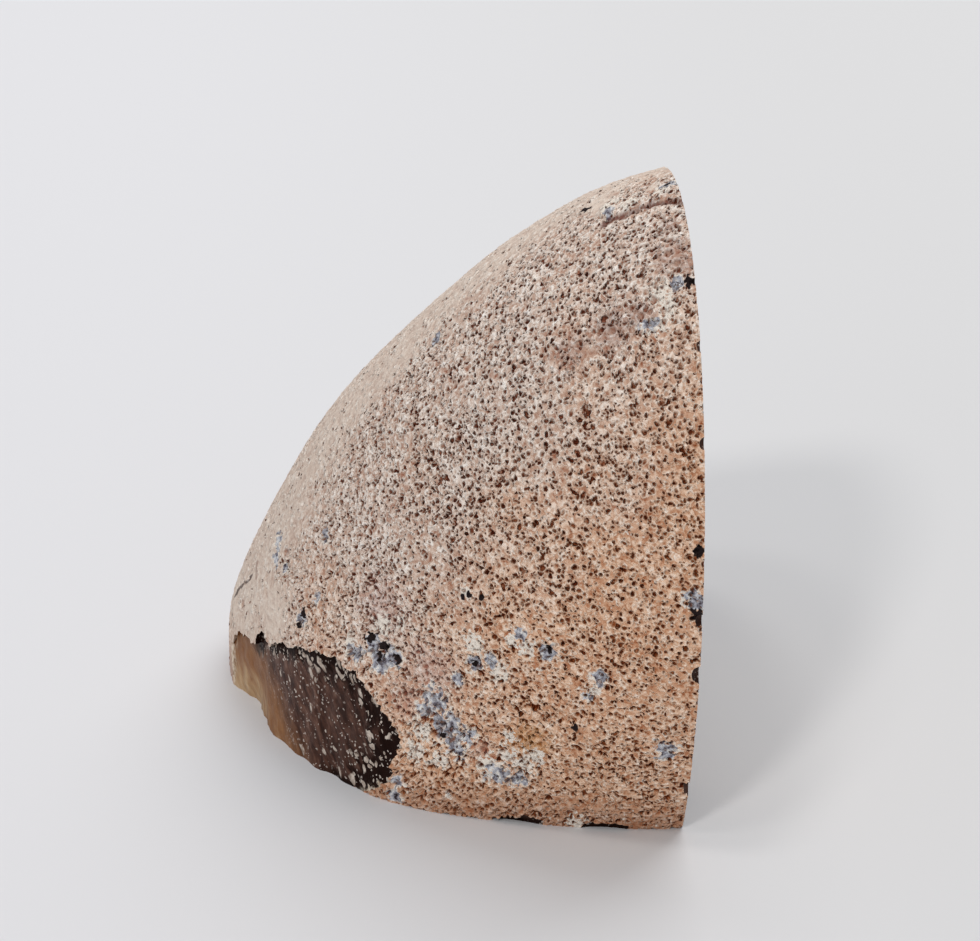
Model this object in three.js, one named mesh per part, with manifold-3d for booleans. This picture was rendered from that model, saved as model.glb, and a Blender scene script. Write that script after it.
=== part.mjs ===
// A cut agate: one end of an elongated nodule, sawn across and stood on a sawn base.
//
// The stone is one solid. It starts as a tilted ellipsoid with a few broad swells and a finely
// pitted rind. One saw cut takes off the +X side and leaves a flat upright face, another leaves
// the flat base at z = 0. A flake is broken out of the lower left corner, and the sawn edges
// carry small nicks.
//
// Units are millimetres and degrees, +Z is up. The origin is the middle of the bounding box at
// the base.

import * as THREE from 'three';
import { mergeVertices } from 'three/addons/utils/BufferGeometryUtils.js';
import Module from 'manifold-3d';

const wasm = await Module();
wasm.setup();

// ---- The nodule before it was cut ----
const NODULE_RADII = new THREE.Vector3(73.5, 35, 41);
const NODULE_CENTRE = new THREE.Vector3(24.7, -2, 26.3);
const NODULE_PITCH = -44.5; // the long axis rises towards +X
const NODULE_YAW = -35.3; // and turns towards -Y
const NODULE_DETAIL = 28; // subdivisions of an icosahedron's edge

// Broad swells and hollows of the rind: where, how wide and how high.
const SWELLS = [
  { at: new THREE.Vector3(-9, -20, 0), spread: 12, height: 3.1 },
  { at: new THREE.Vector3(-22, -3, 2), spread: 8, height: 0.7 },
  { at: new THREE.Vector3(-27.6, 20, 9.6), spread: 5, height: 0.8 },
  { at: new THREE.Vector3(-25, 20, 17), spread: 6, height: 0.4 },
  { at: new THREE.Vector3(-13, 16.5, 40), spread: 8, height: 0.3 },
  { at: new THREE.Vector3(9, 8, 65), spread: 6, height: 0.5 },
  { at: new THREE.Vector3(20, 3, 73), spread: 7, height: 0.9 },
];

// The pitted rind: each pit is one sunken corner of the mesh.
const PIT_SHARE = 0.25; // share of the corners that are pits
const PIT_DEPTH = 0.6;
const GRAIN_HEIGHT = 0.12; // unevenness between the pits

// ---- The saw cuts ----
const CUT_FACE_X = 28.2;
const BASE_Z = 0;
const STOCK_REACH = 120; // half size of the block that the cuts leave

// ---- The flake broken from the lower left corner ----
const FLAKE_CENTRE = new THREE.Vector3(-13, -14.6, 0);
const FLAKE_HEADING = 218.2; // direction that the broken face looks, from +X towards +Y
const FLAKE_CREST = 1; // how far the broken face stands in front of its centre at the base
const FLAKE_LEAN = 0.08; // how far it falls back for each millimetre of height
const FLAKE_BEND_START = -5; // left of this it curves back
const FLAKE_BEND = 0.0125;
const FLAKE_BEND_END = -19.4; // left of this it runs straight
const FLAKE_BEND_SLOPE = 0.36;
const FLAKE_RIGHT_START = 2; // right of this it dips below the rind
const FLAKE_RIGHT_BEND = 0.0115;
const BITE = { across: -24.5, halfWidth: 5.5, depth: 1.4, top: 9 }; // smaller scar in its left end
const RIPPLE = { height: 0.14, pitch: 5.5, fade: 6 }; // shell-like ripples along the lower edge
const FLAKE_OUTLINE = [ // across (towards the right) and up, on the broken face
  [-36, -3], [-34.5, 2], [-31, 7.6], [-28, 9.5], [-24.8, 10], [-22, 10.8], [-20.6, 13.6],
  [-18, 12.4], [-14.4, 14.3], [-8.5, 16.2], [-2, 17.4], [2.4, 16.9], [4.6, 15.4], [8, 13.2],
  [10, 11], [10.4, 8.8], [9, 6.5], [8.4, 3.4], [5.8, 1.8], [5.8, -3],
];
const FLAKE_BLOCK = {
  middle: { across: -14, up: 10 }, width: 80, height: 40, reach: 30, columns: 56, rows: 22,
};

// ---- Nicks in the sawn edges ----
// Along the base: x of the middle, length, height, depth.
const BASE_NICKS = [
  { x: 9.5, length: 7.4, height: 0.9, depth: 0.9 },
  { x: 19.6, length: 6.4, height: 0.8, depth: 0.8 },
];
// Along the upright edge of the cut face: z of the middle, length, depth.
const UPRIGHT_NICKS = [
  { z: 8.4, length: 5.2, depth: 0.7 },
  { z: 27.4, length: 2.8, depth: 1 },
  { z: 35.2, length: 2, depth: 0.9 },
  { z: 57.3, length: 1.6, depth: 0.6 },
  { z: 67.6, length: 1.4, depth: 0.6 },
];

const rad = THREE.MathUtils.degToRad;

// Turns and moves the nodule's own axes into the stone's frame.
const noduleTurn = new THREE.Matrix4()
  .makeRotationZ(rad(NODULE_YAW))
  .multiply(new THREE.Matrix4().makeRotationY(rad(NODULE_PITCH)));
const nodulePlace = noduleTurn.clone().setPosition(NODULE_CENTRE);

// A repeatable number from 0 to 1 for each whole number.
function scatter(n) {
  const value = Math.sin(n * 127.1 + 11.7) * 43758.5453;
  return value - Math.floor(value);
}

// Height of the broad swells at a point.
function swellAt(point) {
  let height = 0;
  for (const swell of SWELLS) {
    const distance = point.distanceTo(swell.at) / swell.spread;
    height += swell.height * Math.exp(-0.5 * distance * distance);
  }
  return height;
}

// Height of the pits and the grain at one corner of the rind.
function reliefAt(corner) {
  const grain = GRAIN_HEIGHT * (2 * scatter(corner) - 1);
  const pit = scatter(corner + 0.5) < PIT_SHARE ? PIT_DEPTH : 0;
  return grain - pit;
}

function noduleGeometry() {
  const ball = new THREE.IcosahedronGeometry(1, NODULE_DETAIL);
  ball.deleteAttribute('normal');
  ball.deleteAttribute('uv');
  const geometry = mergeVertices(ball, 1e-5);
  const position = geometry.attributes.position;
  const direction = new THREE.Vector3();
  const point = new THREE.Vector3();
  const normal = new THREE.Vector3();
  for (let i = 0; i < position.count; i += 1) {
    direction.fromBufferAttribute(position, i).normalize();
    point.copy(direction).multiply(NODULE_RADII).applyMatrix4(nodulePlace);
    normal.copy(direction).divide(NODULE_RADII).transformDirection(noduleTurn);
    point.addScaledVector(normal, swellAt(point) + reliefAt(i));
    position.setXYZ(i, point.x, point.y, point.z);
  }
  return geometry;
}

// The y of the plain nodule's near side (towards -Y) at a given x and z.
function nearSideY(x, z) {
  const toUnit = nodulePlace.clone().scale(NODULE_RADII).invert();
  const start = new THREE.Vector3(x, 0, z).applyMatrix4(toUnit);
  const step = new THREE.Vector3(x, -1, z).applyMatrix4(toUnit).sub(start);
  const a = step.dot(step);
  const b = start.dot(step);
  const c = start.dot(start) - 1;
  return -(Math.sqrt(b * b - a * c) - b) / a;
}

// How far the broken face stands along its heading, at a place across and up.
function flakeFace(across, up) {
  const bent = Math.min(0, Math.max(across, FLAKE_BEND_END) - FLAKE_BEND_START);
  const straight = Math.max(0, FLAKE_BEND_END - across);
  const dip = Math.max(0, across - FLAKE_RIGHT_START);
  const curve = FLAKE_BEND * bent * bent + FLAKE_BEND_SLOPE * straight
    + FLAKE_RIGHT_BEND * dip * dip;
  const inBite = (across - BITE.across) / BITE.halfWidth;
  const biteFade = Math.max(0, 1 - Math.max(0, up) / BITE.top);
  const bite = BITE.depth * Math.max(0, 1 - inBite * inBite) * biteFade;
  const ripple = RIPPLE.height * Math.cos((2 * Math.PI * across) / RIPPLE.pitch)
    * Math.exp(-Math.max(0, up) / RIPPLE.fade);
  return FLAKE_CREST - FLAKE_LEAN * up - curve - bite + ripple;
}

// Sets a shape drawn across, up and outwards onto the broken corner.
function placeOnFlake(geometry) {
  const heading = rad(FLAKE_HEADING);
  const outwards = new THREE.Vector3(Math.cos(heading), Math.sin(heading), 0);
  const up = new THREE.Vector3(0, 0, 1);
  const across = new THREE.Vector3().crossVectors(up, outwards);
  const place = new THREE.Matrix4().makeBasis(across, up, outwards).setPosition(FLAKE_CENTRE);
  return geometry.applyMatrix4(place);
}

// Everything in front of the broken face.
function flakeBlockGeometry() {
  const { middle, width, height, reach, columns, rows } = FLAKE_BLOCK;
  const block = new THREE.BoxGeometry(width, height, reach, columns, rows, 1);
  block.translate(middle.across, middle.up, 0);
  const position = block.attributes.position;
  for (let i = 0; i < position.count; i += 1) {
    const isFace = position.getZ(i) < 0;
    position.setZ(i, isFace ? flakeFace(position.getX(i), position.getY(i)) : reach);
  }
  return placeOnFlake(block);
}

// A prism that keeps the break inside its outline on the rind.
function flakePrismGeometry() {
  const outline = new THREE.Shape(FLAKE_OUTLINE.map(([across, up]) => new THREE.Vector2(across, up)));
  const depth = 2 * FLAKE_BLOCK.reach;
  const prism = new THREE.ExtrudeGeometry(outline, { depth, bevelEnabled: false });
  prism.translate(0, 0, -FLAKE_BLOCK.reach);
  return placeOnFlake(prism);
}

// A small rounded cutter with the given size along x, y and z, turned about z and placed.
function nickGeometry(size, turn, place) {
  const nick = new THREE.IcosahedronGeometry(0.5, 1);
  nick.scale(size.x, size.y, size.z);
  nick.rotateZ(turn);
  nick.translate(place.x, place.y, place.z);
  return nick;
}

function baseNickGeometry({ x, length, height, depth }) {
  const half = length / 2;
  const left = new THREE.Vector3(x - half, nearSideY(x - half, BASE_Z), BASE_Z);
  const right = new THREE.Vector3(x + half, nearSideY(x + half, BASE_Z), BASE_Z);
  const middle = left.clone().lerp(right, 0.5);
  middle.addScaledVector(new THREE.Vector3(0, -1, 0), swellAt(middle));
  const turn = Math.atan2(right.y - left.y, right.x - left.x);
  return nickGeometry(new THREE.Vector3(length, 2 * depth, 2 * height), turn, middle);
}

function uprightNickGeometry({ z, length, depth }) {
  const middle = new THREE.Vector3(CUT_FACE_X, nearSideY(CUT_FACE_X, z), z);
  return nickGeometry(new THREE.Vector3(2 * depth, 2 * depth, length), 0, middle);
}

function toManifold(geometry) {
  geometry.deleteAttribute('normal');
  geometry.deleteAttribute('uv');
  const merged = mergeVertices(geometry, 1e-4);
  const mesh = new wasm.Mesh({
    numProp: 3,
    vertProperties: new Float32Array(merged.attributes.position.array),
    triVerts: new Uint32Array(merged.index.array),
  });
  return new wasm.Manifold(mesh);
}

function toGeometry(manifold) {
  const mesh = manifold.getMesh();
  const geometry = new THREE.BufferGeometry();
  geometry.setAttribute('position', new THREE.BufferAttribute(mesh.vertProperties, 3));
  geometry.setIndex(new THREE.BufferAttribute(mesh.triVerts, 1));
  geometry.computeVertexNormals();
  return geometry;
}

// The block of space that both saw cuts leave.
function sawnStock() {
  const size = 2 * STOCK_REACH;
  const stock = new THREE.BoxGeometry(size, size, size);
  stock.translate(CUT_FACE_X - STOCK_REACH, 0, BASE_Z + STOCK_REACH);
  return toManifold(stock);
}

function agateGeometry() {
  let stone = toManifold(noduleGeometry()).intersect(sawnStock());
  const flake = toManifold(flakeBlockGeometry()).intersect(toManifold(flakePrismGeometry()));
  stone = stone.subtract(flake);
  for (const nick of BASE_NICKS) {
    stone = stone.subtract(toManifold(baseNickGeometry(nick)));
  }
  for (const nick of UPRIGHT_NICKS) {
    stone = stone.subtract(toManifold(uprightNickGeometry(nick)));
  }
  return toGeometry(stone);
}

const rind = new THREE.MeshStandardMaterial({
  name: 'agate rind',
  color: 0xc8a48c,
  roughness: 0.85,
  metalness: 0,
  flatShading: true,
});

const agate = new THREE.Mesh(agateGeometry(), rind);
agate.name = 'agate';

const group = new THREE.Group();
group.add(agate);

export default group;
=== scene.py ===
import itertools
import math

import bmesh
import bpy
import numpy as np
from mathutils import Matrix, Vector


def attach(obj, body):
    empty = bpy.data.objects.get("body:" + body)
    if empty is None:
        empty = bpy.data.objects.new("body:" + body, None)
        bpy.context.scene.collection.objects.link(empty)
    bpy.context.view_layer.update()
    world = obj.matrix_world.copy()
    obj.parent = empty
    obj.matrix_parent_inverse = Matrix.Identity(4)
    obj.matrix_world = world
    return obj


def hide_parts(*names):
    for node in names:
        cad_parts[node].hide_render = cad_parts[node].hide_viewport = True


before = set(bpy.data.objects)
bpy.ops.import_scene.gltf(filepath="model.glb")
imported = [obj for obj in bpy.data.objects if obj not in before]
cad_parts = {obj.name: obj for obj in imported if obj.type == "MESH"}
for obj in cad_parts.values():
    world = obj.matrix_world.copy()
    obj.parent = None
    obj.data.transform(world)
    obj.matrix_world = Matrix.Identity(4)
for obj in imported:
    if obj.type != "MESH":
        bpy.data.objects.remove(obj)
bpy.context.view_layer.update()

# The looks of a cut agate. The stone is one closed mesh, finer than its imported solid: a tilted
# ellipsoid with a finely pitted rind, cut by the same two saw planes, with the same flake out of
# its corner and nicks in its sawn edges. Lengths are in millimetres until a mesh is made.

MM = 0.001

# ---- The nodule, as in the solid ----
RADII = np.array([73.5, 35.0, 41.0])
CENTRE = np.array([24.7, -2.0, 26.3])
PITCH = math.radians(-44.5)
YAW = math.radians(-35.3)
TURN = np.array(Matrix.Rotation(YAW, 3, "Z") @ Matrix.Rotation(PITCH, 3, "Y"))
GIRTH = RADII[1:].mean()
SWELLS = [  # x, y, z, how wide, how high
    (-9, -20, 0, 12.0, 3.1), (-22, -3, 2, 8.0, 0.7), (-27.6, 20, 9.6, 5.0, 0.8),
    (-25, 20, 17, 6.0, 0.4), (-13, 16.5, 40, 8.0, 0.3), (9, 8, 65, 6.0, 0.5),
    (20, 3, 73, 7.0, 0.9),
]
CUT_FACE_X = 28.2
STOCK_REACH = 120.0

# ---- The flake, as in the solid, and the nicks ----
FLAKE_CENTRE = np.array([-13.0, -14.6, 0.0])
FLAKE_HEADING = math.radians(218.2)
FLAKE_CREST = 1.0
FLAKE_LEAN = 0.08
FLAKE_BEND_START = -5.0
FLAKE_BEND = 0.0125
FLAKE_BEND_END = -19.4
FLAKE_BEND_SLOPE = 0.36
FLAKE_RIGHT_START = 2.0
FLAKE_RIGHT_BEND = 0.0115
BITE_ACROSS, BITE_HALF_WIDTH, BITE_DEPTH, BITE_TOP = -24.5, 5.5, 1.4, 9.0
RIPPLE_HEIGHT, RIPPLE_PITCH, RIPPLE_FADE = 0.14, 5.5, 6.0
FLAKE_OUTLINE = [  # across and up, on the broken face
    (-36, -3), (-34.5, 2), (-31, 7.6), (-28, 9.5), (-24.8, 10), (-22, 10.8), (-20.6, 13.6),
    (-18, 12.4), (-14.4, 14.3), (-8.5, 16.2), (-2, 17.4), (2.4, 16.9), (4.6, 15.4), (8, 13.2),
    (10, 11), (10.4, 8.8), (9, 6.5), (8.4, 3.4), (5.8, 1.8), (5.8, -3),
]
BASE_NICKS = [(7.9, 8.0, 1.3, 0.65), (18.6, 6.6, 1.2, 0.65)]  # x, length, height, depth
BASE_NICK_SHIFT = 0.4  # outwards, so that their dark walls show
UPRIGHT_NICKS = [  # z, length, depth
    (8.4, 5.2, 0.7), (27.4, 2.8, 1.0), (35.2, 2.0, 0.9), (57.3, 1.6, 0.6), (67.6, 1.4, 0.6),
]

# ---- Fineness of the mesh ----
FRONT = np.array([-0.08, -0.91, 0.41])  # the side that is meshed finest
FACING = (-0.25, 0.1)  # how far a face looks to the front, where edges go from plain to fine
FINE_EDGE = 0.36
PLAIN_EDGE = 0.52
FAR_EDGE = 6.0
EDGE_GROWTH = 0.35  # longer edges past the saw cuts, per millimetre
MARGIN = 1.5  # how far past the saw cuts the fine mesh goes on
FLAKE_EDGE = 0.45
CHIP_JITTER = 0.38
POLE_GAP = 0.02  # angle of the first ring around either end of the nodule
RING_STEP = 0.866  # distance of the rings, as a share of the edge length
RING_PHASE = 0.618  # how far each ring's first point is shifted on, in edges


def swell_at(points):
    height = np.zeros(len(points))
    for *at, spread, rise in SWELLS:
        distance = np.linalg.norm(points - np.array(at), axis=1) / spread
        height += rise * np.exp(-0.5 * distance**2)
    return height


def nodule_surface(directions):
    """Points on the smooth nodule and their outward normals, for unit directions."""
    points = CENTRE + (directions * RADII) @ TURN.T
    normals = (directions / RADII) @ TURN.T
    normals /= np.linalg.norm(normals, axis=1)[:, None]
    points = points + normals * swell_at(points)[:, None]
    return points, normals


def edge_length(points, normals):
    """How long the mesh's edges are at each point: short on the kept, front side."""
    outside = np.maximum(points[:, 0] - CUT_FACE_X, -points[:, 2]) - MARGIN
    kept = np.interp(normals @ FRONT, FACING, (PLAIN_EDGE, FINE_EDGE))
    return np.minimum(FAR_EDGE, kept + EDGE_GROWTH * np.maximum(0.0, outside))


def directions_at(polar, turns):
    """Unit directions at one angle from the long axis and at several angles around it."""
    along = np.full(len(turns), math.cos(polar))
    aside = math.sin(polar)
    return np.column_stack([along, aside * np.cos(turns), aside * np.sin(turns)])


def ring_turns(polar, phase):
    """The angles of one ring's points, evenly spaced by the edge length, and its smallest edge."""
    samples = np.linspace(0.0, 2.0 * math.pi, 241)
    points, normals = nodule_surface(directions_at(polar, samples))
    wanted = edge_length(points, normals)
    run = np.linalg.norm(np.diff(points, axis=0), axis=1)
    steps = run / (0.5 * (wanted[1:] + wanted[:-1]))
    total = np.concatenate([[0.0], np.cumsum(steps)])
    count = max(6, round(total[-1]))
    at = (np.arange(count) + phase) / count * total[-1]
    return np.interp(at, total, samples), wanted.min()


def join_rings(first, first_turns, second, second_turns):
    """Triangles between two closed rings of points with different counts."""
    faces = []
    i = j = 0
    a, b = len(first_turns), len(second_turns)
    first_ends = [*first_turns[1:], first_turns[0] + 2 * math.pi, math.inf]
    second_ends = [*second_turns[1:], second_turns[0] + 2 * math.pi, math.inf]
    while i < a or j < b:
        if first_ends[i] <= second_ends[j]:
            faces.append((first + i % a, first + (i + 1) % a, second + j % b))
            i += 1
        else:
            faces.append((first + i % a, second + (j + 1) % b, second + j % b))
            j += 1
    return faces


def nodule_mesh():
    """The whole smooth nodule as directions and triangles, in rings around its long axis."""
    directions = [np.array([[1.0, 0.0, 0.0]])]
    rings = []  # the number of its first point, and the angles of its points
    total = 1
    polar = POLE_GAP
    phase = 0.0
    while polar < math.pi - POLE_GAP:
        turns, edge = ring_turns(polar, phase)
        directions.append(directions_at(polar, turns))
        rings.append((total, turns))
        total += len(turns)
        slope = math.hypot(RADII[0] * math.sin(polar), GIRTH * math.cos(polar))
        polar += RING_STEP * edge / slope
        phase = (phase + RING_PHASE) % 1.0
    directions.append(np.array([[-1.0, 0.0, 0.0]]))
    first, count = 1, len(rings[0][1])
    faces = [(0, first + (k + 1) % count, first + k) for k in range(count)]
    for ring, following in zip(rings, rings[1:]):
        faces += join_rings(*ring, *following)
    last, count = rings[-1][0], len(rings[-1][1])
    faces += [(total, last + k, last + (k + 1) % count) for k in range(count)]
    return np.concatenate(directions), faces


def mesh_points(mesh):
    """A mesh's points in millimetres."""
    places = np.empty(len(mesh.vertices) * 3, np.float32)
    mesh.vertices.foreach_get("co", places)
    return places.reshape(-1, 3).astype(float) / MM


def turn_outwards(mesh):
    """Flips a closed mesh whose faces look inwards."""
    mesh.calc_loop_triangles()
    corners = np.empty(len(mesh.loop_triangles) * 3, np.int32)
    mesh.loop_triangles.foreach_get("vertices", corners)
    a, b, c = mesh_points(mesh)[corners].reshape(-1, 3, 3).transpose(1, 0, 2)
    if np.einsum("ij,ij->", a, np.cross(b, c)) < 0.0:
        mesh.flip_normals()


def add_object(name, data):
    made = bpy.data.objects.new(name, data)
    bpy.context.scene.collection.objects.link(made)
    return made


def make_object(name, points, faces):
    """A mesh object from points in millimetres."""
    mesh = bpy.data.meshes.new(name)
    mesh.from_pydata(np.asarray(points) * MM, [], faces)
    turn_outwards(mesh)
    return add_object(name, mesh)


def store(mesh, name, values):
    """Stores a number or a vector for each point of a mesh."""
    kind, key = ("FLOAT", "value") if values.ndim == 1 else ("FLOAT_VECTOR", "vector")
    layer = mesh.attributes.get(name) or mesh.attributes.new(name, kind, "POINT")
    layer.data.foreach_set(key, values.astype(np.float32).ravel())


# ---- Node graphs, for shaders and for shaping alike ----


class Number:
    """A node's output that takes plain arithmetic: each sign adds a math node."""

    def __init__(self, graph, socket):
        self.graph = graph
        self.socket = socket

    def __add__(self, other):
        return self.graph.math("ADD", self, other)

    def __sub__(self, other):
        return self.graph.math("SUBTRACT", self, other)

    def __rsub__(self, other):
        return self.graph.math("SUBTRACT", other, self)

    def __mul__(self, other):
        return self.graph.math("MULTIPLY", self, other)

    def __truediv__(self, other):
        return self.graph.math("DIVIDE", self, other)

    __radd__ = __add__
    __rmul__ = __mul__


class Graph:
    """Adds nodes to one node tree and joins them."""

    def __init__(self, tree):
        self.tree = tree

    def add(self, kind, **settings):
        node = self.tree.nodes.new(kind)
        for name, value in settings.items():
            setattr(node, name, value)
        return node

    def feed(self, socket, value):
        if isinstance(value, Number):
            value = value.socket
        if isinstance(value, bpy.types.NodeSocket):
            self.tree.links.new(value, socket)
        elif value is not None:
            socket.default_value = value

    def math(self, operation, *values):
        node = self.add("ShaderNodeMath", operation=operation)
        for socket, value in zip(node.inputs, values):
            self.feed(socket, value)
        return Number(self, node.outputs[0])

    def larger(self, a, b):
        return self.math("MAXIMUM", a, b)

    def vector(self, operation, a, b=None, scale=None):
        node = self.add("ShaderNodeVectorMath", operation=operation)
        self.feed(node.inputs[0], a)
        self.feed(node.inputs[1], b)
        if scale is not None:
            self.feed(node.inputs["Scale"], scale)
        if operation in ("DOT_PRODUCT", "LENGTH", "DISTANCE"):
            return Number(self, node.outputs["Value"])
        return node.outputs["Vector"]

    def combine(self, x, y, z):
        node = self.add("ShaderNodeCombineXYZ")
        for socket, value in zip(node.inputs, (x, y, z)):
            self.feed(socket, value)
        return node.outputs[0]

    def split(self, value):
        """The three parts of a vector or colour."""
        node = self.add("ShaderNodeSeparateXYZ")
        self.feed(node.inputs[0], value)
        return tuple(Number(self, output) for output in node.outputs)

    def stored(self, name, kind="FLOAT"):
        """What is stored on the mesh under a name."""
        if self.tree.type == "GEOMETRY":
            node = self.add("GeometryNodeInputNamedAttribute", data_type=kind)
            node.inputs["Name"].default_value = name
            return Number(self, node.outputs[0])
        return Number(self, self.add("ShaderNodeAttribute", attribute_name=name).outputs["Fac"])

    def noise(self, coords, scale, detail=1.0, roughness=0.5, colour=False):
        """Cloudy noise from 0 to 1: one number, or three as a colour."""
        node = self.add("ShaderNodeTexNoise")
        self.feed(node.inputs["Vector"], coords)
        self.feed(node.inputs["Scale"], scale)
        self.feed(node.inputs["Detail"], detail)
        self.feed(node.inputs["Roughness"], roughness)
        return node.outputs["Color"] if colour else Number(self, node.outputs[0])

    def cells(self, coords, spacing):
        """Scattered points about a spacing apart: distance to the nearest, and its own colour."""
        node = self.add("ShaderNodeTexVoronoi")
        self.feed(node.inputs["Vector"], coords)
        self.feed(node.inputs["Scale"], 1.0 / spacing)
        return Number(self, node.outputs["Distance"]) * spacing, node.outputs["Color"]

    def step(self, value, low, high, start=0.0, end=1.0):
        """Goes smoothly from start to end as the input goes from low to high."""
        node = self.add("ShaderNodeMapRange", interpolation_type="SMOOTHSTEP")
        for socket, put in zip(node.inputs, (value, low, high, start, end)):
            self.feed(socket, put)
        return Number(self, node.outputs[0])

    def mix(self, factor, a, b):
        node = self.add("ShaderNodeMix", data_type="RGBA")
        self.feed(node.inputs[0], factor)
        self.feed(node.inputs[6], a)
        self.feed(node.inputs[7], b)
        return node.outputs[2]

    def ramp(self, value, stops):
        """A colour from a list of places with their screen colours."""
        node = self.add("ShaderNodeValToRGB")
        elements = node.color_ramp.elements
        while len(elements) < len(stops):
            elements.new(0.5)
        for element, (place, colour) in zip(elements, stops):
            element.position = place
            element.color = srgb(*colour)
        self.feed(node.inputs[0], value)
        return node.outputs[0]


def srgb(red, green, blue):
    """A linear colour from screen values of 0 to 255."""
    def linear(value):
        value /= 255.0
        return value / 12.92 if value <= 0.04045 else ((value + 0.055) / 1.055) ** 2.4

    return (linear(red), linear(green), linear(blue), 1.0)


def in_millimetres(g, position):
    return g.vector("SCALE", position, scale=1.0 / MM)


def nodule_place(g, position):
    """A position in metres along the nodule's own axes, as shares of its radii."""
    offset = g.vector("SUBTRACT", position, tuple(CENTRE * MM))
    axes = (TURN / (RADII * MM)).T
    return g.combine(*(g.vector("DOT_PRODUCT", offset, tuple(axis)) for axis in axes))


def nodule_coords(g, position):
    """The point of the plain ellipsoid under a position, in millimetres of its own axes."""
    direction = g.vector("NORMALIZE", nodule_place(g, position))
    return g.vector("MULTIPLY", direction, tuple(RADII))


# ---- The rind ----
# Pits: spacing, share of the places taken, smallest and largest radius.
WIDE_PITS = (1.6, 0.18, 0.34, 0.5)
PLAIN_PITS = (0.85, 0.85, 0.22, 0.37)
TINY_PITS = (0.5, 0.55, 0.14, 0.24)
# Relief: depths and heights.
PIT_DEPTH = 0.6
PIT_RIM = 0.08
GRAIN_HEIGHT = 0.28
SCAR_DEPTH = 0.15
CREASE_DEPTH = 0.35
LEDGE_HEIGHT = 0.3
# The smooth side of the rind starts this far back, on a border that a noise moves by its swing.
BARE_START = 7.0
BARE_SWING = 14.0
BARE_LEAN = 0.12
# Local marks in the rind, as x, y, z and radius.
SMOOTH_PATCHES = [
    (-21.8, 0.6, 17, 5.9), (-25, 9, 15, 5.0), (-27, 17, 12, 6.0), (25, -10, 79, 1.2),
    (19.5, -5.5, 75, 3.0),
]
DENSE_PATCHES = [
    (1.9, -23.7, 46.2, 10.0), (-9, -18.5, 27, 9.0), (-4, -25, 19.5, 4.0), (-7, -22.8, 3, 7.0),
    (-0.9, -26, 3, 7.0), (7, -30, 2, 6.0), (16, -36, 52, 7.0), (-3.5, -25, 9, 8.0),
]
WIDE_HOLES = [
    (23.4, -28.2, 70.8, 0.6), (24.4, -30, 70.1, 0.45), (22.7, -26.9, 71.3, 0.4),
    (21.9, -28.6, 69, 0.5), (23, -29, 69.7, 0.4), (18.6, -27.5, 66.8, 0.6),
    (20.8, -29.1, 67.5, 0.45), (25.6, -24.4, 75.3, 0.6), (26.4, -26.4, 74.8, 0.5),
    (24.6, -27.1, 72.8, 0.5), (17.3, -26.4, 66.3, 0.5), (14.8, -25.4, 64.4, 0.5),
    (2.4, -29.1, 28.5, 0.55), (3.2, -29.1, 11.5, 0.6), (-0.6, -27.2, 12.2, 0.45),
    (-20.5, 2, 25.2, 0.6), (-26.3, 12.2, 12.8, 0.6), (-20.8, 2.2, 23.9, 0.4), (-23.2, 8, 21, 0.35),
]
BLUE_SCARS = [
    (-12.4, -16.3, 19.7, 1.1), (-10, -19, 21.5, 1.5), (-8, -21, 21, 1.5), (-9.3, -20, 19.3, 1.2),
    (-3, -26, 17, 1.7), (-4, -25, 15.4, 1.0), (-1.6, -26.7, 14, 1.9), (-0.4, -27.3, 11, 1.6),
    (0.8, -28, 13.2, 1.0), (5, -29.3, 8, 1.6), (7.3, -30, 7.6, 1.1), (2, -29, 23.6, 1.0),
    (3.8, -30.2, 24.6, 0.8), (0, -27.7, 20.8, 0.8), (7.3, -32.5, 29.3, 0.8),
    (10.4, -34.5, 27.7, 1.1), (16.6, -37.4, 25.4, 1.1), (15.3, -36.4, 22.2, 0.6),
    (-7.6, -22.4, 4, 0.9), (-7.7, -21.7, 1.2, 1.0), (-1.1, -25.8, 3.3, 0.6),
    (-18.8, -6.4, 19.5, 1.1), (24.8, -37.7, 15.2, 1.3), (27.2, -42.6, 38, 1.2),
    (-21.3, 5.6, 25.2, 1.2), (-21.6, 4.3, 23.4, 1.1), (-20.6, 0.5, 23.6, 0.7),
    (-15.5, -6.1, 31.2, 0.8), (-16.9, -8.3, 23.1, 0.8), (-1, -4.5, 57.1, 0.9),
    (27.1, -11.9, 79.4, 1.0), (20.2, -10.6, 75.6, 0.9), (26.4, -28.6, 72.8, 0.9),
    (22.8, -30.1, 68.4, 1.0),
]
WHITE_SCARS = [
    (-8.8, -19.3, 24.5, 1.5), (-6.8, -21.2, 26, 1.0), (2, -29, 26.2, 1.5), (5, -31, 23.4, 1.5),
    (6.4, -32, 28.2, 1.0), (8.1, -33.1, 27.6, 1.2), (-4.4, -25, 12.5, 1.6), (-5.2, -24.4, 9.3, 1.5),
    (-2.2, -26, 8.7, 1.3), (3.9, -29.1, 9.3, 1.6), (6.3, -30.4, 11, 1.6), (9.3, -31.8, 11.7, 1.5),
    (8, -31, 9.7, 1.4), (-13, -15.5, 20.7, 1.1), (1, -27.3, 32.7, 0.9), (16.1, -37, 23.5, 0.8),
    (2, -28.7, 13.5, 0.8), (6.2, -31, 14, 0.9), (20.5, -8.7, 75.8, 1.5), (22.9, -11.2, 77.1, 1.3),
    (26.5, -12.8, 79, 1.2), (24, -28, 71.6, 1.5), (25.2, -30, 70.6, 1.3), (23.4, -30.5, 68.6, 1.2),
    (14.6, -30.4, 0.9, 1.5), (20.3, -32.4, 2.2, 0.8),
]
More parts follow.
